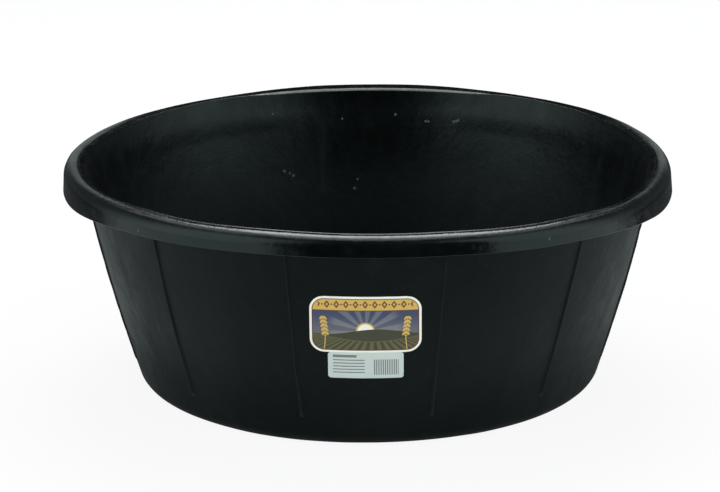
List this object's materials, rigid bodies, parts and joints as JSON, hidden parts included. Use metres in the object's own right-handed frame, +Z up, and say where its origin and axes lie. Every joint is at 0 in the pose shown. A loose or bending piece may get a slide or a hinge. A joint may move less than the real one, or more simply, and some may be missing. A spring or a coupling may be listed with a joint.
{
  "type": "rubber feed tub",
  "caption": "Round, low, tapered black rubber tub for feed or water, with a heavy rounded rim bead, thin upright ribs round the outside and stickers on the front.",
  "frame": {"origin": "centre of the flat underside, on the ground", "axes": "+Z up along the tub's axis; -Y faces the viewer of the picture, with the stickers; +X to the right"},
  "size_m": [0.664, 0.664, 0.246],
  "materials": {
    "rubber": "satin",
    "sticker_print": "satin",
    "sticker_white": "satin"
  },
  "bodies": {
    "root": {"floor_cup": "rubber", "side_wall": "rubber", "rim_bead": "rubber", "rib_01": "rubber", "rib_02": "rubber", "rib_03": "rubber", "rib_04": "rubber", "rib_05": "rubber", "rib_06": "rubber", "rib_07": "rubber", "rib_08": "rubber", "rib_09": "rubber", "rib_10": "rubber", "rib_11": "rubber", "rib_12": "rubber", "picture_sticker": "sticker_print", "plain_sticker": "sticker_white"}
  },
  "joints": []
}
